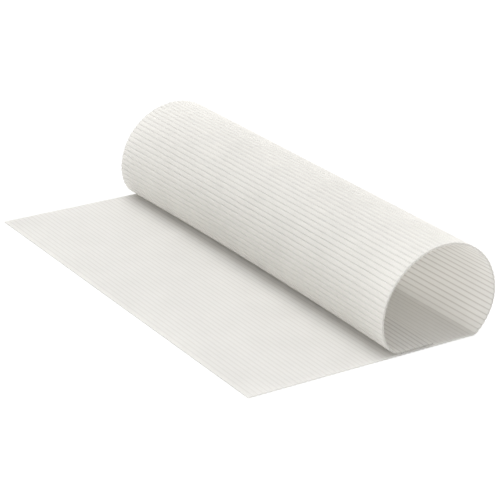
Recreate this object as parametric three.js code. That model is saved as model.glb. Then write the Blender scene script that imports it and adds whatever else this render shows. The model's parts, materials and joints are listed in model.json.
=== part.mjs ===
// A silicone swiss roll mat: one thin sheet, smooth inside and ribbed outside, that bends only in the
// grooves between its ribs. It lies flat in front, and behind that it goes up, over and down around an
// open hollow, with its free end tucked in on the flat base.
//
// The sheet is cut into strips at the grooves where it bends. Each strip hangs on the one before it by a
// fold line on the smooth face, so turning a strip's group bends the mat there.
//
// Millimetres. X runs along the ribs, Y from the front edge to the back, Z up from the table.

import * as THREE from 'three';

// The sheet
const MAT_WIDTH = 300; // along the ribs
const RIB_PITCH = 3.2;
const RIB_HEIGHT = 0.45;
const CREST_FLAT = 1.4; // flat on top of each rib, which the mat stands on
const WEB = 0.65; // the thin sheet that carries the ribs
const WEB_LAND = 0.1; // bare web between a rib and the edge of its strip
const FOLD_GAP = 0.3; // slot between two strips
const LAY_GAP = 0.3; // between the tail's ribs and the base that it lies on

// How many strips there are, and how many ribs go into each
const WIDE_STRIP_RIBS = 5;
const NARROW_STRIP_RIBS = 3; // in the tight bend above the tail
const APRON_STRIPS = 5;
const WRAP_STRIPS = 9;
const TUCK_STRIPS = 3;
const BASE_RIBS = 23;
const TAIL_RIBS = 7;

// The hollow, on the smooth face. The heel is the fold where the sheet leaves the table.
const HOLLOW_DEPTH = 77.9; // from the front wall to the back wall
const HOLLOW_HEIGHT = 59.7; // from the base to the crown
const BACK_OVERHANG = 12.7; // the back wall's reach behind the heel
const BACK_REACH_HEIGHT = 24.2; // how high over the base that reach is
const HEEL_START = 45; // degrees round its ellipse where the heel leaves the base, which makes a crease
const CROWN_SETBACK = 23.9; // the crown stands this far in front of the heel
const FRONT_REACH_HEIGHT = 20; // how high over the base the front wall bulges furthest
const TUCK_RUN = 12.5; // from the front wall's furthest bulge back to where the tail lies flat

// Milky silicone
const SILICONE_COLOUR = 0xecebe6;
const SILICONE_ROUGHNESS = 0.45;
const ARC_SEGMENTS = 1; // pairs of facets on each rounded side of a rib

const THICKNESS = WEB + RIB_HEIGHT;

// One strip's section, with the smooth face on z = 0, the ribs below it and y across the ribs.
function stripSection(ribs) {
  const edge = FOLD_GAP / 2;
  const far = ribs * RIB_PITCH - edge;
  const ribHalf = RIB_PITCH / 2 - edge - WEB_LAND;
  const flatHalf = CREST_FLAT / 2;
  const section = new THREE.Shape();
  section.moveTo(edge, 0);
  section.lineTo(edge, -WEB);
  for (let rib = 0; rib < ribs; rib += 1) {
    const middle = (rib + 0.5) * RIB_PITCH;
    const round = ribHalf - flatHalf;
    section.lineTo(middle - ribHalf, -WEB);
    section.absellipse(middle - flatHalf, -WEB, round, RIB_HEIGHT, Math.PI, 1.5 * Math.PI, false);
    section.lineTo(middle + flatHalf, -THICKNESS);
    section.absellipse(middle + flatHalf, -WEB, round, RIB_HEIGHT, 1.5 * Math.PI, 2 * Math.PI, false);
  }
  section.lineTo(far, -WEB);
  section.lineTo(far, 0);
  section.closePath();
  return section;
}

// One strip as a solid, as long as the mat is wide. It starts at the fold on y = 0.
function stripMesh(name, ribs) {
  const geometry = new THREE.ExtrudeGeometry(stripSection(ribs), {
    depth: MAT_WIDTH,
    bevelEnabled: false,
    curveSegments: ARC_SEGMENTS,
  });
  geometry.translate(0, 0, -MAT_WIDTH / 2);
  const across = new THREE.Vector3(0, 1, 0);
  const up = new THREE.Vector3(0, 0, 1);
  const along = new THREE.Vector3(1, 0, 0);
  geometry.applyMatrix4(new THREE.Matrix4().makeBasis(across, up, along));
  const material = new THREE.MeshStandardMaterial({
    color: SILICONE_COLOUR,
    roughness: SILICONE_ROUGHNESS,
    metalness: 0,
  });
  const mesh = new THREE.Mesh(geometry, material);
  mesh.name = name;
  return mesh;
}

function numbered(name, index) {
  return `${name}_${String(index).padStart(2, '0')}`;
}

// The wrap's smooth face in the plane across the ribs: quarters of ellipses around the hollow, then the
// line along which the tail lies. Points are (behind the heel, above the base).
function wrapCurves() {
  const heelStart = THREE.MathUtils.degToRad(HEEL_START);
  const front = BACK_OVERHANG - HOLLOW_DEPTH;
  const tailHeight = THICKNESS + LAY_GAP;
  const tuckEnd = front + TUCK_RUN;
  const tailLength = TAIL_RIBS * RIB_PITCH;

  const heelDepth = BACK_OVERHANG / (1 - Math.sin(heelStart));
  const heelRise = BACK_REACH_HEIGHT / Math.cos(heelStart);
  const heelMiddle = BACK_OVERHANG - heelDepth;
  const backDepth = BACK_OVERHANG + CROWN_SETBACK;
  const backRise = HOLLOW_HEIGHT - BACK_REACH_HEIGHT;
  const frontDepth = -CROWN_SETBACK - front;
  const frontRise = HOLLOW_HEIGHT - FRONT_REACH_HEIGHT;
  const tuckRise = FRONT_REACH_HEIGHT - tailHeight;

  const quarter = Math.PI / 2;
  const heelArc = new THREE.EllipseCurve(
    heelMiddle, BACK_REACH_HEIGHT, heelDepth, heelRise, heelStart - quarter, 0);
  const backArc = new THREE.EllipseCurve(
    -CROWN_SETBACK, BACK_REACH_HEIGHT, backDepth, backRise, 0, quarter);
  const frontArc = new THREE.EllipseCurve(
    -CROWN_SETBACK, FRONT_REACH_HEIGHT, frontDepth, frontRise, quarter, 2 * quarter);
  const tuckArc = new THREE.EllipseCurve(
    tuckEnd, FRONT_REACH_HEIGHT, TUCK_RUN, tuckRise, 2 * quarter, 3 * quarter);
  const tailLine = new THREE.LineCurve(
    new THREE.Vector2(tuckEnd, tailHeight),
    new THREE.Vector2(tuckEnd + tailLength, tailHeight));

  return [heelArc, backArc, frontArc, tuckArc, tailLine];
}

// The wrap's strips in order, from the heel to the free end.
function wrapStrips() {
  const strips = [];
  for (let index = 1; index <= WRAP_STRIPS; index += 1) {
    strips.push({ name: numbered('wrap_strip', index), ribs: WIDE_STRIP_RIBS });
  }
  for (let index = 1; index <= TUCK_STRIPS; index += 1) {
    strips.push({ name: numbered('tuck_strip', index), ribs: NARROW_STRIP_RIBS });
  }
  strips.push({ name: 'tail_panel', ribs: TAIL_RIBS });
  return strips;
}

// A place on the wrap is a number: its whole part picks the curve, the rest runs along it.
function wrapPoint(curves, place) {
  const index = Math.min(Math.floor(place), curves.length - 1);
  return curves[index].getPoint(place - index);
}

// The place one strip's width further on, measured straight across as the flat strip spans it.
function nextPlace(curves, place, width) {
  const from = wrapPoint(curves, place);
  const stride = 0.01;
  let near = place;
  let far = place + stride;
  while (wrapPoint(curves, far).distanceTo(from) < width) {
    near = far;
    far += stride;
  }
  for (let halving = 0; halving < 50; halving += 1) {
    const middle = (near + far) / 2;
    if (wrapPoint(curves, middle).distanceTo(from) < width) {
      near = middle;
    } else {
      far = middle;
    }
  }
  return far;
}

// Hangs the wrap's strips one on the next, from the heel to the tail.
function addWrap(base, baseLength) {
  const curves = wrapCurves();
  let parent = base;
  let foldAt = baseLength;
  let heading = 0;
  let place = 0;
  for (const { name, ribs } of wrapStrips()) {
    const width = ribs * RIB_PITCH;
    const next = nextPlace(curves, place, width);
    const step = wrapPoint(curves, next).sub(wrapPoint(curves, place));
    const turned = step.angle();
    const strip = new THREE.Group();
    strip.position.y = foldAt;
    strip.rotation.x = (turned - heading + 2 * Math.PI) % (2 * Math.PI);
    strip.add(stripMesh(name, ribs));
    parent.add(strip);
    parent = strip;
    foldAt = width;
    heading = turned;
    place = next;
  }
}

// Hangs the apron's strips one on the next, from the base to the front edge, all lying flat.
function addApron(base) {
  const width = WIDE_STRIP_RIBS * RIB_PITCH;
  let parent = base;
  let foldAt = 0;
  for (let index = 1; index <= APRON_STRIPS; index += 1) {
    const strip = new THREE.Group();
    strip.position.y = foldAt;
    const mesh = stripMesh(numbered('apron_strip', index), WIDE_STRIP_RIBS);
    mesh.position.y = -width;
    strip.add(mesh);
    parent.add(strip);
    parent = strip;
    foldAt = -width;
  }
}

// The whole mat stands on its ribs, with the middle of its footprint on the origin.
function buildMat() {
  const base = new THREE.Group();
  base.add(stripMesh('base_panel', BASE_RIBS));
  addApron(base);
  addWrap(base, BASE_RIBS * RIB_PITCH);
  const middle = new THREE.Box3().setFromObject(base).getCenter(new THREE.Vector3());
  base.position.set(0, -middle.y, THICKNESS);
  const mat = new THREE.Group();
  mat.add(base);
  return mat;
}

export default buildMat();
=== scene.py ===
"""A silicone swiss roll mat: one moulded sheet, smooth inside and ribbed outside.

The sheet lies flat from its front edge to the heel. From there it goes up the back, over the crown and
down the front, and its tail lies on the base inside. It bends at its folds, so it is made as one piece
for each fold: a piece reaches from a groove in one strip to a groove in the next, across the fold.

A place on the sheet is its flat distance behind the heel, along the smooth face. Lengths are in metres.
"""

import bisect
import json
import math

import bmesh
import bpy
from bpy.props import FloatProperty, FloatVectorProperty, IntProperty, PointerProperty
from bpy.types import Operator, Panel, PropertyGroup
from mathutils import Matrix, Vector

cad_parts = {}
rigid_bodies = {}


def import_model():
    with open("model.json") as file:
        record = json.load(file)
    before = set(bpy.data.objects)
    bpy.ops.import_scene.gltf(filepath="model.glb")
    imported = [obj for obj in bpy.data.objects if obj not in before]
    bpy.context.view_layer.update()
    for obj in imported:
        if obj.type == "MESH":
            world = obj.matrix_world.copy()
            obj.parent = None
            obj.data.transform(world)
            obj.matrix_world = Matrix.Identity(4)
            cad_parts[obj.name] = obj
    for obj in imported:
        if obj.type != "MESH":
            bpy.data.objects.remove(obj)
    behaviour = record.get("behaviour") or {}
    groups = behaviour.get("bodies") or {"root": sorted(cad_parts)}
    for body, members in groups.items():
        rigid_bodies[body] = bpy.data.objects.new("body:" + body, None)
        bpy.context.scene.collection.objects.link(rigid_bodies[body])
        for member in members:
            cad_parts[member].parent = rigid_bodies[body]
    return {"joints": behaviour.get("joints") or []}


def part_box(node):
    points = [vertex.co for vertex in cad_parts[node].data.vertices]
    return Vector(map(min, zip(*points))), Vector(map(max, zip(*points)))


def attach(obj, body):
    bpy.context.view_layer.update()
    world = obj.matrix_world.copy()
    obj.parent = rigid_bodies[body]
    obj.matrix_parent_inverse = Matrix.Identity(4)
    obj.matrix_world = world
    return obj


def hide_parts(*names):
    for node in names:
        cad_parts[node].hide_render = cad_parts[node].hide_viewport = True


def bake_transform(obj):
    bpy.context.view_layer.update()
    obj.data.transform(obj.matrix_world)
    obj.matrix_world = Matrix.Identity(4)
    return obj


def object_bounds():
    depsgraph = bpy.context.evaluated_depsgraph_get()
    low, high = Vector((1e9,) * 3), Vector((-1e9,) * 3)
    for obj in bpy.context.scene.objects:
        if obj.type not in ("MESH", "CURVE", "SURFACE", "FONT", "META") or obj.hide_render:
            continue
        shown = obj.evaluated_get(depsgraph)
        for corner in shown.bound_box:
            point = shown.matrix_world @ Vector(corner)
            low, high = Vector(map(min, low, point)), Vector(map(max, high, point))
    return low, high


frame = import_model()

bl_info = {
    "name": "Silicone swiss roll mat",
    "version": (1, 0, 0),
    "blender": (4, 5, 0),
    "location": "3D View > Sidebar > Roll mat",
    "description": "Builds a ribbed silicone mat, rolled up at the back, on the strips of its CAD frame",
    "category": "Object",
}

CAD_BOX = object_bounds()
MM = 0.001
JOINTS = frame["joints"]
HEEL = next(j for j in JOINTS if j["name"] == "roll_open")  # where the sheet leaves the table
APRON_FOLD = next(j for j in JOINTS if j["name"] == "apron_curl")  # between the base and the apron

# How the sheet is divided and bends
SEAM_RIBS = 2  # the base ends, and the next pieces start, this many ribs from the fold between them
HEEL_BEND = 5.95 * MM  # how far to each side of the heel its turn is spread
SHARP_EDGE = math.radians(85)  # an edge that turns by more than this stays sharp in the shading
HAIR = 0.01 * MM  # what lies closer together than this is in one place

# Where shade is painted on the silicone: the lines of its grooves and its cut ends
LINE_CORE = 0.03  # a groove's line is full this far from its middle, as a share of the pitch
LINE_EDGE = 0.2  # and it has faded out this far from it
LINE_ON_RIBS = 0.4  # strength of the lines on the ribbed side, against the smooth side
LINE_SKIN = 0.3  # they have fallen to it at this share of the thickness, from the smooth face
LINE_ON_TABLE = 0.4  # strength of the painted groove shade where the sheet lies flat, against the roll, as light comes back up from the table there
HEEL_FADE = 10 * MM  # how far to each side of the heel the flat sheet's look passes into the roll's
CUT_SHADE_MARGIN = 0.1 * MM  # the painted shade on a cut end reaches this far in

# The table and the lamps
TABLE_REACH = 6.0  # from its middle to each edge
TABLE_DROP = 0.05 * MM  # below the flat crests, so that table and mat don't share a plane
TABLE_WHITE = {"share": 0.72, "level": 1.16}  # how much of it looks plain white, and how bright
TOP_SOFTBOX = {"place": (-0.20, -0.02, 1.45), "size": (0.9, 0.7)}
BACK_SOFTBOX = {"place": (0.20, 1.45, 0.28), "size": (1.2, 0.4)}


def linear(hex_colour):
    """An sRGB colour such as 0xECEBE6 as linear red, green and blue."""
    channels = [(hex_colour >> shift & 255) / 255 for shift in (16, 8, 0)]
    return [c / 12.92 if c <= 0.04045 else ((c + 0.055) / 1.055) ** 2.4 for c in channels]


def eased(value, low, high):
    """Nought up to low, one from high on, and a smooth rise between them."""
    share = min(max((value - low) / (high - low), 0), 1)
    return share * share * (3 - 2 * share)


# The folds of the frame


def chain_from(joint):
    """A joint and all that follow it outwards, in order."""
    joints = [joint]
    while True:
        following = [j for j in JOINTS if j["parent"] == joints[-1]["child"]]
        if not following:
            return joints
        joints.append(following[0])


def flat_folds(chain, first, direction):
    """The flat distance of each fold of a chain, from the distances between its joints."""
    flats = [first]
    for here, there in zip(chain, chain[1:]):
        step = (Vector(there["pos_m"]) - Vector(here["pos_m"])).length
        flats.append(flats[-1] + direction * step)
    return flats


WRAP_CHAIN = chain_from(HEEL)
WRAP_FOLDS = flat_folds(WRAP_CHAIN, 0.0, 1)
APRON_CHAIN = chain_from(APRON_FOLD)
BASE_LENGTH = HEEL["pos_m"][1] - APRON_FOLD["pos_m"][1]
APRON_FOLDS = flat_folds(APRON_CHAIN, -BASE_LENGTH, -1)
WRAP_LENGTH = WRAP_FOLDS[-1]
TAIL_LENGTH = (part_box("tail_panel")[1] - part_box("tail_panel")[0]).y
FREE_END = WRAP_LENGTH + TAIL_LENGTH
FRONT_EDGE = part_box(APRON_CHAIN[-1]["child"])[0].y - HEEL["pos_m"][1]
CROWN_FLAT = WRAP_LENGTH / 2


# What a user would change


class MatSheet(PropertyGroup):
    """The sheet before it is rolled."""

    rib_pitch: FloatProperty(
        name="Rib pitch", description="From one groove to the next",
        default=3.2 * MM, min=1 * MM, precision=4, unit="LENGTH",
    )
    rib_height: FloatProperty(
        name="Rib height", description="How far a rib stands out from the web",
        default=0.45 * MM, min=0.1 * MM, precision=4, unit="LENGTH",
    )
    web: FloatProperty(
        name="Web", description="Thickness of the bare sheet between two ribs",
        default=0.65 * MM, min=0.1 * MM, precision=4, unit="LENGTH",
    )
    groove_floor: FloatProperty(
        name="Groove floor", description="Width of the bare web at the bottom of a groove",
        default=0.5 * MM, min=0.05 * MM, precision=4, unit="LENGTH",
    )
    crest_flat: FloatProperty(
        name="Crest flat", description="Flat on top of each rib, which the mat stands on",
        default=1.4 * MM, min=0.05 * MM, precision=4, unit="LENGTH",
    )
    shoulder_steps: IntProperty(
        name="Shoulder steps", description="Facets on each rounded side of a rib", default=4, min=2, max=12,
    )
    lengthwise_steps: IntProperty(
        name="Lengthwise steps", description="Facets along the ribs", default=16, min=1, max=60,
    )


class MatRoll(PropertyGroup):
    """The hollow that the sheet goes round, measured on the smooth face."""

    depth: FloatProperty(
        name="Depth", description="From the front wall to the back wall",
        default=77.1 * MM, precision=4, unit="LENGTH",
    )
    height: FloatProperty(
        name="Height", description="From the base to the crown",
        default=59.4 * MM, precision=4, unit="LENGTH",
    )
    overhang: FloatProperty(
        name="Overhang", description="The back wall's reach behind the heel",
        default=12.3 * MM, precision=4, unit="LENGTH",
    )
    back_reach_height: FloatProperty(
        name="Back reach height", description="Height of the back wall's furthest point",
        default=24.2 * MM, precision=4, unit="LENGTH",
    )
    front_reach_height: FloatProperty(
        name="Front reach height", description="Height of the front wall's furthest bulge",
        default=20.0 * MM, precision=4, unit="LENGTH",
    )
    crown_setback: FloatProperty(
        name="Crown setback", description="From the heel forward to the crown",
        default=23.9 * MM, precision=4, unit="LENGTH",
    )
    tuck_run: FloatProperty(
        name="Tuck run", description="From the front wall's furthest bulge back to where the tail lies",
        default=12.5 * MM, precision=4, unit="LENGTH",
    )
    heel_start: FloatProperty(
        name="Heel start", description="Where on its ellipse the heel begins, which sets how sharp it is",
        default=math.radians(45), subtype="ANGLE",
    )
    heel_round: FloatProperty(
        name="Heel round", description="How far the heel's crease is eased to each side",
        default=0.7 * MM, precision=4, unit="LENGTH",
    )
    tail_gap: FloatProperty(
        name="Tail gap", description="Between the tail's ribs and the base",
        default=0.3 * MM, precision=4, unit="LENGTH",
    )
    foot_bow: FloatProperty(
        name="Foot bow", description="How much further in the front wall's foot is at mid-length",
        default=2.5 * MM, precision=4, unit="LENGTH",
    )


class MatSilicone(PropertyGroup):
    """The milky silicone."""

    body_colour: FloatVectorProperty(
        name="Body", description="The rubber itself",
        default=linear(0xFEFDFB), size=3, min=0, max=1, subtype="COLOR",
    )
    # Painted shade: the crests are made a little darker, to even the light they catch against the shade in
    # the grooves
    crest_shade_colour: FloatVectorProperty(
        name="Crest", description="On the crests of the ribs, which pick up dust",
        default=linear(0xF8F7F4), size=3, min=0, max=1, subtype="COLOR",
    )
    # Painted shade: grey for the cut ends of the ribs on the roll, where no light comes up from the table
    # into them
    cut_shade_colour: FloatVectorProperty(
        name="Cut", description="On the cut ends of the ribs",
        default=linear(0xC9C7C4), size=3, min=0, max=1, subtype="COLOR",
    )
    glow_colour: FloatVectorProperty(
        name="Glow", description="Tint of light that has come through a rib",
        default=linear(0xFFFEFB), size=3, min=0, max=1, subtype="COLOR",
    )
    # Painted shade: a darker tint for light through a groove, standing in for the light that the groove's
    # flanks turn away
    groove_shade_glow_colour: FloatVectorProperty(
        name="Groove glow", description="Tint of light that has come through a groove",
        default=linear(0xC0BCB6), size=3, min=0, max=1, subtype="COLOR",
    )
    glow_share: FloatProperty(
        name="Glow share", description="How much of the light that enters the skin goes on through",
        default=0.46, min=0, max=1, subtype="FACTOR",
    )
    cloud_size: FloatProperty(
        name="Cloud size", description="Across the clouds in the rubber",
        default=30 * MM, min=1 * MM, precision=4, unit="LENGTH",
    )
    grain_size: FloatProperty(
        name="Grain size", description="Across the grains of the mould's blasted skin",
        default=0.9 * MM, min=0.1 * MM, precision=4, unit="LENGTH",
    )
    dull_size: FloatProperty(
        name="Dull patch size", description="Across the patches that handling has dulled",
        default=14 * MM, min=1 * MM, precision=4, unit="LENGTH",
    )


class MatStage(PropertyGroup):
    """Camera and light."""

    azimuth: FloatProperty(
        name="Azimuth", description="Round from straight in front of the mat",
        default=math.radians(57.76), subtype="ANGLE",
    )
    elevation: FloatProperty(
        name="Elevation", description="Above the table",
        default=math.radians(22.39), subtype="ANGLE",
    )
    roll: FloatProperty(
        name="Roll", description="The camera's lean", default=math.radians(0.21), subtype="ANGLE",
    )
    distance: FloatProperty(
        name="Distance", description="From the camera to what it looks at",
        default=1179.3 * MM, unit="LENGTH",
    )
    target: FloatVectorProperty(
        name="Target", description="What the camera looks at",
        default=(14.9 * MM, 2.7 * MM, 20 * MM), size=3, subtype="TRANSLATION",
    )
    lens: FloatProperty(
        name="Lens", description="Focal length in millimetres on a 36 mm sensor", default=139.95,
        unit="CAMERA",
    )
    room_level: FloatProperty(
        name="Room level", description="How bright the white room is", default=0.72, min=0,
    )
    top_power: FloatProperty(
        name="Top softbox", description="Power of the softbox overhead", default=9.9, min=0, unit="POWER",
    )
    back_power: FloatProperty(
        name="Back softbox", description="Power of the softbox behind the roll", default=6.5, min=0,
        unit="POWER",
    )


class SwissRollMat(PropertyGroup):
    """All the sizes and colours of one mat."""

    sheet: PointerProperty(type=MatSheet)
    roll: PointerProperty(type=MatRoll)
    silicone: PointerProperty(type=MatSilicone)
    stage: PointerProperty(type=MatStage)


# The path of the sheet


class SheetPath:
    """The smooth face in the plane across the ribs, from the front edge to the free end."""

    SAMPLES = 400

    def __init__(self, mat):
        self.thickness = mat.sheet.web + mat.sheet.rib_height
        self.heel = Vector((HEEL["pos_m"][1], self.thickness))
        self.round = mat.roll.heel_round
        self.bow = mat.roll.foot_bow
        self.half_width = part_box("base_panel")[1].x
        self.points = self._points(mat.roll)
        self.lengths = [0.0]
        for here, there in zip(self.points, self.points[1:]):
            self.lengths.append(self.lengths[-1] + (there - here).length)
        self.headings = [self._heading(index) for index in range(len(self.points))]

    def _arc(self, middle, radii, first, last):
        """Points on part of an ellipse, from one angle in degrees to another."""
        points = []
        for step in range(self.SAMPLES):
            angle = math.radians(first + (last - first) * step / self.SAMPLES)
            offset = Vector((radii[0] * math.cos(angle), radii[1] * math.sin(angle)))
            points.append(self.heel + Vector(middle) + offset)
        return points

    def _points(self, roll):
        """Points round the roll, on quarters of ellipses, and then along the tail."""
        front = roll.overhang - roll.depth
        tail_height = self.thickness + roll.tail_gap
        tuck_end = front + roll.tuck_run
        start = math.degrees(roll.heel_start)
        heel_depth = roll.overhang / (1 - math.sin(roll.heel_start))
        heel_rise = roll.back_reach_height / math.cos(roll.heel_start)
        back_depth = roll.overhang + roll.crown_setback
        back_rise = roll.height - roll.back_reach_height
        front_depth = -roll.crown_setback - front
        front_rise = roll.height - roll.front_reach_height
        tuck_rise = roll.front_reach_height - tail_height

        heel = self._arc(
            (roll.overhang - heel_depth, roll.back_reach_height), (heel_depth, heel_rise), start - 90, 0)
        back = self._arc(
            (-roll.crown_setback, roll.back_reach_height), (back_depth, back_rise), 0, 90)
        over = self._arc(
            (-roll.crown_setback, roll.front_reach_height), (front_depth, front_rise), 90, 180)
        tuck = self._arc(
            (tuck_end, roll.front_reach_height), (roll.tuck_run, tuck_rise), 180, 270)
        tail = self.heel + Vector((tuck_end, tail_height))
        tail_end = tail + Vector((TAIL_LENGTH, 0))
        return [*heel, *back, *over, *tuck, tail, tail_end]

    def _heading(self, index):
        """The way that the curve runs at one of its points."""
        before = self.points[max(index - 1, 0)]
        after = self.points[min(index + 1, len(self.points) - 1)]
        return (after - before).normalized()

    def _on_curve(self, along):
        """Point and heading that far round the roll from the heel."""
        index = min(max(bisect.bisect(self.lengths, along) - 1, 0), len(self.points) - 2)
        share = (along - self.lengths[index]) / (self.lengths[index + 1] - self.lengths[index])
        point = self.points[index].lerp(self.points[index + 1], share)
        heading = self.headings[index].lerp(self.headings[index + 1], min(max(share, 0), 1))
        return point, heading.normalized()

    def place(self, flat):
        """Point and heading of the smooth face at a flat distance behind the heel."""
        stretch = (self.lengths[-1] - TAIL_LENGTH) / WRAP_LENGTH
        if flat <= -self.round:
            return self.heel + Vector((flat, 0)), Vector((1, 0))
        if flat < self.round:
            far, heading = self._on_curve(self.round * stretch)
            near = self.heel - Vector((self.round, 0))
            share = (flat + self.round) / (2 * self.round)
            point = near.lerp(self.heel, share).lerp(self.heel.lerp(far, share), share)
            return point, Vector((1, 0)).lerp(heading, share).normalized()
        if flat < WRAP_LENGTH:
            return self._on_curve(flat * stretch)
        return self._on_curve(WRAP_LENGTH * stretch + flat - WRAP_LENGTH)

    def bend(self, flat_point):
        """Where a point of the flat sheet goes.

        Its x runs along the ribs, its y is the flat distance and its z the height over the smooth face.
        """
        point, heading = self.place(flat_point.y)
        inward = Vector((-heading.y, heading.x))
        point = point + inward * flat_point.z
        # The front wall's foot is held least at mid-length, and goes in a little there
        towards_middle = 1 - (flat_point.x / self.half_width) ** 2
        bow = self.bow * eased(flat_point.y, CROWN_FLAT, WRAP_LENGTH) * towards_middle
        return Vector((flat_point.x, point.x + bow, point.y))

    def on_smooth_face(self, flat):
        """The point of the smooth face in the middle of the mat, for the ends of a fold."""
        return self.bend(Vector((0, flat, 0)))


# The sheet's mesh


def drawn_on(bm, ends, length):
    """Draws the section's free end straight on by that length, and returns the new end."""
    new_ends = bmesh.ops.extrude_vert_indiv(bm, verts=ends)["verts"]
    bmesh.ops.translate(bm, verts=new_ends, vec=(0, length, 0))
    return new_ends


def rounded_on(bm, ends, middle, steps):
    """Turns the section's free end a quarter round a middle, and returns the new end."""
    turned = bmesh.ops.spin(
        bm, geom=ends, cent=middle, axis=(1, 0, 0), dvec=(0, 0, 0), angle=math.pi / 2, steps=steps,
        use_duplicate=False)
    return [v for v in turned["geom_last"] if isinstance(v, bmesh.types.BMVert)]


def flat_sheet(first_rib, ribs, sheet, half_width):
    """A flat run of ribs as a closed bmesh: the smooth face on z = 0 and the ribs under it."""
    pitch = sheet.rib_pitch
    foot = sheet.groove_floor / 2
    shoulder = pitch / 2 - foot - sheet.crest_flat / 2
    bm = bmesh.new()
    # The section of one rib, from the middle of a groove to the middle of the next
    end = bmesh.ops.create_vert(bm, co=(-half_width, 0, -sheet.web))["vert"]
    end = drawn_on(bm, end, foot)
    end = rounded_on(bm, end, (-half_width, foot + shoulder, -sheet.web), sheet.shoulder_steps)
    end = drawn_on(bm, end, sheet.crest_flat)
    end = rounded_on(bm, end, (-half_width, pitch - foot - shoulder, -sheet.web), sheet.shoulder_steps)
    drawn_on(bm, end, foot)
    bmesh.ops.scale(
        bm, verts=bm.verts[:], vec=(1, 1, sheet.rib_height / shoulder),
        space=Matrix.Translation((0, 0, sheet.web)))
    # The same rib again and again, one pitch further each time
    if ribs > 1:
        bmesh.ops.spin(
            bm, geom=bm.verts[:] + bm.edges[:], cent=(0, 0, 0), axis=(1, 0, 0),
            dvec=(0, pitch, 0), angle=0, steps=ribs - 1, use_duplicate=True)
    bmesh.ops.remove_doubles(bm, verts=bm.verts[:], dist=HAIR)
    # Up to the smooth face, which gives the section, and then along the ribs
    up = bmesh.ops.extrude_edge_only(bm, edges=bm.edges[:])["geom"]
    bmesh.ops.scale(bm, verts=[v for v in up if isinstance(v, bmesh.types.BMVert)], vec=(1, 1, 0))
    along = bmesh.ops.extrude_face_region(bm, geom=bm.faces[:])["geom"]
    bmesh.ops.translate(
        bm, verts=[v for v in along if isinstance(v, bmesh.types.BMVert)], vec=(2 * half_width, 0, 0))
    long_edges = [e for e in bm.edges if abs(e.verts[0].co.x - e.verts[1].co.x) > half_width]
    bmesh.ops.subdivide_edges(bm, edges=long_edges, cuts=sheet.lengthwise_steps - 1, use_grid_fill=True)
    bmesh.ops.translate(bm, verts=bm.verts[:], vec=(0, first_rib * pitch, 0))
    bmesh.ops.recalc_face_normals(bm, faces=bm.faces[:])
    return bm


def sheet_piece(name, first, last, mat, path):
    """One piece of the mat, between two flat distances that fall in grooves."""
    pitch = mat.sheet.rib_pitch
    first_rib, last_rib = round(first / pitch), round(last / pitch)
    bm = flat_sheet(first_rib, last_rib - first_rib, mat.sheet, path.half_width)
    # The faces where the piece goes on into the next one, which is everywhere but at the mat's own edges
    seams = [y for y in (first, last) if FRONT_EDGE + pitch < y < FREE_END - pitch]
    for face in bm.faces:
        if any(all(abs(v.co.y - y) < HAIR for v in face.verts) for y in seams):
            face.material_index = 1
    # The materials need to know each place on the flat sheet, and how near it is to the ribs' crests
    flat = bm.loops.layers.uv.new("flat_sheet")
    depth = bm.verts.layers.float.new("rib_side")
    for vertex in bm.verts:
        vertex[depth] = -vertex.co.z / path.thickness
        for loop in vertex.link_loops:
            loop[flat].uv = (vertex.co.y, vertex.co.x)
    for vertex in bm.verts:
        vertex.co = path.bend(vertex.co)
    mesh = bpy.data.meshes.new(name)
    bm.to_mesh(mesh)
    bm.free()
    mesh.shade_smooth()
    mesh.set_sharp_from_angle(angle=SHARP_EDGE)
    piece = bpy.data.objects.new(name, mesh)
    bpy.context.scene.collection.objects.link(piece)
    mesh.materials.append(silicone(mat))
    mesh.materials.append(inside_silicone())
    return piece


def fold_pieces(chain, folds, end, mat):
    """The pieces of a chain of strips, each reaching across the fold at its strip's start."""
    path = SheetPath(mat)
    pitch = mat.sheet.rib_pitch
    out = 1 if end > folds[0] else -1
    seam = folds[0] - SEAM_RIBS * pitch * out
    for index, joint in enumerate(chain):
        fold = folds[index]
        is_last = index + 1 == len(chain)
        next_fold = end if is_last else folds[index + 1]
        strip_ribs = round(abs(next_fold - fold) / pitch)
        halfway = fold + math.ceil(strip_ribs / 2) * pitch * out
        # The last bend's end lies as far past its fold as the seam lies before it
        bend_end = 2 * fold - seam if is_last else halfway
        piece_end = end if is_last else bend_end
        name = joint["child"] + "_sheet"
        piece = sheet_piece(name, min(seam, piece_end), max(seam, piece_end), mat, path)
        bend_start = seam
        if joint is HEEL:
            bend_start, bend_end = -HEEL_BEND, HEEL_BEND
        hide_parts(joint["child"])
        path.on_smooth_face(bend_start)
        path.on_smooth_face(bend_end)
        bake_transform(piece)
        seam = piece_end


# Materials


def add_node(tree, kind, inputs=None, **settings):
    """Adds one node. Settings go by attribute, inputs by socket, each a value or an output to link."""
    node = tree.nodes.new(kind)
    for name, value in settings.items():
        setattr(node, name, value)
    for socket, value in (inputs or {}).items():
        if isinstance(value, bpy.types.NodeSocket):
            tree.links.new(value, node.inputs[socket])
        else:
            node.inputs[socket].default_value = value
    return node


def empty_tree(owner):
    """The owner's node tree, switched on and with nothing in it."""
    owner.use_nodes = True
    owner.node_tree.nodes.clear()
    return owner.node_tree


def patches(tree, place, size, low, high):
    """A level that drifts between low and high in patches of about that size."""
    # Nearly all of this noise lies between 0.3 and 0.7
    noise = add_node(tree, "ShaderNodeTexNoise", {"Vector": place, "Scale": 1 / size, "Detail": 3.0})
    level = add_node(
        tree, "ShaderNodeMapRange",
        {"Value": noise.outputs["Fac"], "From Min": 0.3, "From Max": 0.7, "To Min": low, "To Max": high})
    return level.outputs[0]


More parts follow.
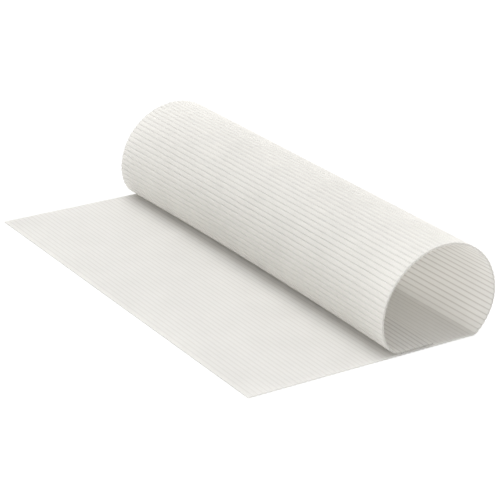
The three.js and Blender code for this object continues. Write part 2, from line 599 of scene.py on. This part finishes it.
def painted_groove_line(tree, across, on_roll, side, mat):
    """How strong the painted shade of a groove's line is: up to one in the groove's middle, and nought on a
    rib.

    It is sharpest on the smooth side, and painted fainter where the sheet lies flat, as light comes back up
    from the table there.
    """
    ribs = add_node(tree, "ShaderNodeMath", {0: across, 1: 1 / mat.sheet.rib_pitch}, operation="MULTIPLY")
    from_groove = add_node(tree, "ShaderNodeMath", {0: ribs.outputs[0], 1: 0.5}, operation="PINGPONG")
    groove = add_node(
        tree, "ShaderNodeMapRange",
        {
            "Value": from_groove.outputs[0], "From Min": LINE_CORE, "From Max": LINE_EDGE,
            "To Min": 1, "To Max": 0,
        },
        interpolation_type="SMOOTHSTEP")
    sharp = add_node(
        tree, "ShaderNodeMapRange",
        {"Value": side, "From Max": LINE_SKIN, "To Min": 1.0, "To Max": LINE_ON_RIBS})
    lit = add_node(
        tree, "ShaderNodeMapRange", {"Value": on_roll, "To Min": LINE_ON_TABLE, "To Max": 1.0})
    strength = add_node(
        tree, "ShaderNodeMath", {0: sharp.outputs[0], 1: lit.outputs[0]}, operation="MULTIPLY")
    line = add_node(
        tree, "ShaderNodeMath", {0: groove.outputs[0], 1: strength.outputs[0]}, operation="MULTIPLY")
    return line.outputs[0]


def rubber_colour_and_shade(tree, place, along, on_roll, side, mat):
    """The rubber's colour, cloudy, with painted shade that darkens the crests and greys the roll's cut
    ends.
    """
    look = mat.silicone
    # Painted shade: the crests are made a little darker, the more the higher over the web, to even the
    # light they catch against the shade in the grooves
    web_share = mat.sheet.web / (mat.sheet.web + mat.sheet.rib_height)
    crest = add_node(tree, "ShaderNodeMapRange", {"Value": side, "From Min": web_share, "From Max": 1.0})
    crest_shaded = add_node(
        tree, "ShaderNodeMix",
        {"Factor": crest.outputs[0], "A": (*look.body_colour, 1), "B": (*look.crest_shade_colour, 1)},
        data_type="RGBA")
    # Painted shade: the roll's cut ends are greyed, as no light comes up from the table into them
    from_middle = add_node(tree, "ShaderNodeMath", {0: along}, operation="ABSOLUTE")
    at_end = add_node(
        tree, "ShaderNodeMath", {0: from_middle.outputs[0], 1: CAD_BOX[1].x - CUT_SHADE_MARGIN},
        operation="GREATER_THAN")
    cut_shade_mask = add_node(tree, "ShaderNodeMath", {0: at_end.outputs[0], 1: on_roll}, operation="MULTIPLY")
    cut_shaded = add_node(
        tree, "ShaderNodeMix",
        {"Factor": cut_shade_mask.outputs[0], "A": crest_shaded.outputs["Result"], "B": (*look.cut_shade_colour, 1)},
        data_type="RGBA")
    clouds = patches(tree, place, look.cloud_size, low=0.965, high=1.02)
    clouded = add_node(
        tree, "ShaderNodeVectorMath", {0: cut_shaded.outputs["Result"], "Scale": clouds}, operation="SCALE")
    return clouded.outputs[0]


def silicone(mat):
    """Milky silicone rubber, compression moulded: satin, cloudy, and lit through when light is behind it.

    Light that comes through the sheet is painted darker at each groove, a painted shade that stands in for
    the light the groove's flanks turn away, so the ribs can be counted from the smooth side too.
    """
    name = "Milky silicone, moulded"
    if name in bpy.data.materials:
        return bpy.data.materials[name]
    look = mat.silicone
    material = bpy.data.materials.new(name)
    tree = empty_tree(material)
    place = add_node(tree, "ShaderNodeTexCoord").outputs["Object"]
    side = add_node(tree, "ShaderNodeAttribute", attribute_name="rib_side").outputs["Fac"]
    flat = add_node(tree, "ShaderNodeUVMap", uv_map="flat_sheet")
    on_sheet = add_node(tree, "ShaderNodeSeparateXYZ", {"Vector": flat.outputs["UV"]})
    across, along = on_sheet.outputs["X"], on_sheet.outputs["Y"]
    heel = add_node(
        tree, "ShaderNodeMapRange", {"Value": across, "From Min": -HEEL_FADE, "From Max": HEEL_FADE})
    on_roll = heel.outputs[0]

    # The mould's blasted grain, drawn coarser than it is so that it shows
    grain = add_node(
        tree, "ShaderNodeTexNoise", {"Vector": place, "Scale": 1 / look.grain_size, "Detail": 2.0})
    bump = add_node(
        tree, "ShaderNodeBump",
        {"Height": grain.outputs["Fac"], "Strength": 0.12, "Distance": 0.1 * MM})
    # Handling leaves duller patches
    skin = add_node(
        tree, "ShaderNodeBsdfPrincipled",
        {
            "Base Color": rubber_colour_and_shade(tree, place, along, on_roll, side, mat),
            "Roughness": patches(tree, place, look.dull_size, low=0.4, high=0.54),
            "IOR": 1.41, "Normal": bump.outputs["Normal"],
        })
    line = painted_groove_line(tree, across, on_roll, side, mat)
    through = add_node(
        tree, "ShaderNodeMix",
        {"Factor": line, "A": (*look.glow_colour, 1), "B": (*look.groove_shade_glow_colour, 1)},
        data_type="RGBA")
    glow = add_node(
        tree, "ShaderNodeBsdfTranslucent",
        {"Color": through.outputs["Result"], "Normal": bump.outputs["Normal"]})
    both = add_node(
        tree, "ShaderNodeMixShader", {0: look.glow_share, 1: skin.outputs["BSDF"], 2: glow.outputs["BSDF"]})
    add_node(tree, "ShaderNodeOutputMaterial", {"Surface": both.outputs[0]})
    return material


def inside_silicone():
    """Silicone where one piece goes on into the next. There is no surface, so light goes straight on."""
    name = "Milky silicone, inside the sheet"
    if name in bpy.data.materials:
        return bpy.data.materials[name]
    material = bpy.data.materials.new(name)
    tree = empty_tree(material)
    clear = add_node(tree, "ShaderNodeBsdfTransparent", {"Color": (1, 1, 1, 1)})
    add_node(tree, "ShaderNodeOutputMaterial", {"Surface": clear.outputs[0]})
    return material


def white_seen(tree):
    """One where the eye sees the background straight, mirrored or through something clear."""
    path = add_node(tree, "ShaderNodeLightPath")
    seen = add_node(
        tree, "ShaderNodeMath",
        {0: path.outputs["Is Camera Ray"], 1: path.outputs["Is Glossy Ray"]}, operation="ADD")
    # Light that has come through the milky sheet is scattered, so it doesn't count as seen
    clear = add_node(
        tree, "ShaderNodeMath",
        {0: path.outputs["Is Transmission Ray"], 1: path.outputs["Is Diffuse Ray"]}, operation="SUBTRACT",
        use_clamp=True)
    both = add_node(
        tree, "ShaderNodeMath", {0: seen.outputs[0], 1: clear.outputs[0]}, operation="ADD", use_clamp=True)
    return both.outputs[0]


def white_paper():
    """Paper, uncoated: plain white to the eye, but for the mat's soft shadow on it."""
    material = bpy.data.materials.new("White paper, uncoated")
    tree = empty_tree(material)
    paper = add_node(tree, "ShaderNodeBsdfDiffuse", {"Color": (*linear(0xF8F8F8), 1)})
    white = add_node(tree, "ShaderNodeEmission", {"Color": (1, 1, 1, 1), "Strength": TABLE_WHITE["level"]})
    share = add_node(
        tree, "ShaderNodeMath", {0: white_seen(tree), 1: TABLE_WHITE["share"]}, operation="MULTIPLY")
    both = add_node(
        tree, "ShaderNodeMixShader", {0: share.outputs[0], 1: paper.outputs[0], 2: white.outputs[0]})
    add_node(tree, "ShaderNodeOutputMaterial", {"Surface": both.outputs[0]})
    return material


# Operators


class MAT_OT_base(Operator):
    """Makes the flat stretch under the roll, which the mat stands on"""

    bl_idname = "mat.base"
    bl_label = "Base"

    def execute(self, context):
        mat = context.scene.swiss_roll_mat
        margin = SEAM_RIBS * mat.sheet.rib_pitch
        piece = sheet_piece("base_panel_sheet", APRON_FOLDS[0] + margin, -margin, mat, SheetPath(mat))
        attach(piece, "base_panel")
        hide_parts("base_panel")
        return {"FINISHED"}


class MAT_OT_apron(Operator):
    """Makes the flat stretch in front of the roll, fold by fold to the front edge"""

    bl_idname = "mat.apron"
    bl_label = "Apron"

    def execute(self, context):
        fold_pieces(APRON_CHAIN, APRON_FOLDS, FRONT_EDGE, context.scene.swiss_roll_mat)
        return {"FINISHED"}


class MAT_OT_roll(Operator):
    """Makes the stretch from the heel over the crown to the tail, fold by fold"""

    bl_idname = "mat.roll"
    bl_label = "Roll"

    def execute(self, context):
        fold_pieces(WRAP_CHAIN, WRAP_FOLDS, FREE_END, context.scene.swiss_roll_mat)
        return {"FINISHED"}


class MAT_OT_stage(Operator):
    """Makes the table, the light and the camera"""

    bl_idname = "mat.stage"
    bl_label = "Stage"

    def execute(self, context):
        stage = context.scene.swiss_roll_mat.stage
        scene = context.scene
        scene.view_settings.view_transform = "Standard"
        self.add_camera(scene, stage)
        self.add_room(scene, stage)
        self.add_softbox(scene, "Top softbox", stage.top_power, **TOP_SOFTBOX)
        self.add_softbox(scene, "Back softbox", stage.back_power, **BACK_SOFTBOX)
        self.add_table(scene)
        return {"FINISHED"}

    def add_camera(self, scene, stage):
        """A camera at the photograph's angle."""
        data = bpy.data.cameras.new("Camera")
        data.lens = stage.lens
        data.sensor_width = 36
        camera = bpy.data.objects.new("Camera", data)
        aim = Matrix.Translation(stage.target)
        around = Matrix.Rotation(stage.azimuth, 4, "Z")
        tilt = Matrix.Rotation(math.pi / 2 - stage.elevation, 4, "X")
        lean = Matrix.Rotation(stage.roll, 4, "Z")
        back = Matrix.Translation((0, 0, stage.distance))
        camera.matrix_world = aim @ around @ tilt @ lean @ back
        scene.collection.objects.link(camera)
        scene.camera = camera

    def add_room(self, scene, stage):
        """A white room that lights the mat evenly from all sides."""
        room = bpy.data.worlds.new("White room")
        scene.world = room
        tree = empty_tree(room)
        light = add_node(
            tree, "ShaderNodeBackground", {"Color": (1, 1, 1, 1), "Strength": stage.room_level})
        white = add_node(tree, "ShaderNodeBackground", {"Color": (1, 1, 1, 1), "Strength": 1.0})
        both = add_node(
            tree, "ShaderNodeMixShader", {0: white_seen(tree), 1: light.outputs[0], 2: white.outputs[0]})
        add_node(tree, "ShaderNodeOutputWorld", {"Surface": both.outputs[0]})

    def add_softbox(self, scene, name, power, place, size):
        """A soft lamp that is turned to the middle of the mat."""
        data = bpy.data.lights.new(name, "AREA")
        data.shape = "RECTANGLE"
        data.size, data.size_y = size
        data.energy = power
        softbox = bpy.data.objects.new(name, data)
        aim = Vector(place).to_track_quat("Z", "Y").to_matrix().to_4x4()
        softbox.matrix_world = Matrix.Translation(place) @ aim
        scene.collection.objects.link(softbox)

    def add_table(self, scene):
        """The table that the mat lies on, wide enough to fill the view."""
        bm = bmesh.new()
        bmesh.ops.create_grid(bm, x_segments=1, y_segments=1, size=TABLE_REACH)
        bmesh.ops.translate(bm, verts=bm.verts[:], vec=(0, 0, -TABLE_DROP))
        mesh = bpy.data.meshes.new("Table")
        bm.to_mesh(mesh)
        bm.free()
        table = bpy.data.objects.new("Table", mesh)
        scene.collection.objects.link(table)
        mesh.materials.append(white_paper())


class MAT_PT_panel(Panel):
    """Lists what makes the mat, with its sizes and colours"""

    bl_idname = "MAT_PT_panel"
    bl_label = "Swiss roll mat"
    bl_space_type = "VIEW_3D"
    bl_region_type = "UI"
    bl_category = "Roll mat"

    def draw(self, context):
        mat = context.scene.swiss_roll_mat
        for operator in OPERATORS:
            self.layout.operator(operator.bl_idname)
        for group in (mat.sheet, mat.roll, mat.silicone, mat.stage):
            box = self.layout.box()
            for name in group.__annotations__:
                box.prop(group, name)


GROUPS = (MatSheet, MatRoll, MatSilicone, MatStage, SwissRollMat)
OPERATORS = (MAT_OT_stage, MAT_OT_base, MAT_OT_apron, MAT_OT_roll)
CLASSES = (*GROUPS, *OPERATORS, MAT_PT_panel)


def register():
    for cls in CLASSES:
        bpy.utils.register_class(cls)
    bpy.types.Scene.swiss_roll_mat = PointerProperty(type=SwissRollMat)


def unregister():
    del bpy.types.Scene.swiss_roll_mat
    for cls in reversed(CLASSES):
        bpy.utils.unregister_class(cls)


def main():
    register()
    bpy.ops.mat.stage()
    bpy.ops.mat.base()
    bpy.ops.mat.apron()
    bpy.ops.mat.roll()


if __name__ == "__main__":
    main()
